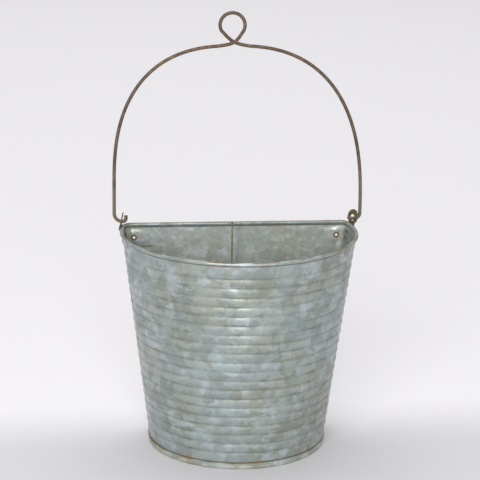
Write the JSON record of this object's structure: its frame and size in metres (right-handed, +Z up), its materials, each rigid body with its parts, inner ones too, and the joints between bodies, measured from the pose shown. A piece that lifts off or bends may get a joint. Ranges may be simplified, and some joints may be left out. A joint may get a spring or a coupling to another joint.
{
  "type": "florist bucket",
  "caption": "Half-round galvanised florist bucket with ribbed front, flat back, rolled rim, riveted ears and a swinging wire bail with a hanging loop.",
  "frame": {"origin": "on the axis of the bucket's cone, at the underside of the base", "axes": "+X to the bucket's right seen from its round front, +Y towards its flat back, +Z up"},
  "size_m": [0.2544, 0.1559, 0.4393],
  "materials": {
    "zinc_sheet": "weathered hot-dip galvanised sheet, matt with mottled spangle",
    "old_steel": "dull, lightly rusted steel",
    "rusty_wire": "brown rusted drawn wire"
  },
  "bodies": {
    "bucket": {"body_shell": "zinc_sheet", "rim_wire": "old_steel", "base_plate": "zinc_sheet", "ear_left": "old_steel", "ear_right": "old_steel", "rivet_left_1": "old_steel", "rivet_left_2": "old_steel", "rivet_right_1": "old_steel", "rivet_right_2": "old_steel"},
    "bail": {"bail_handle": "rusty_wire"}
  },
  "joints": [
    {"name": "bail_swing", "type": "hinge", "parent": "bucket", "child": "bail", "pos_m": [0, 0.02514, 0.22555], "axis": [1, 0, 0], "range_deg": [-110, 126]}
  ]
}
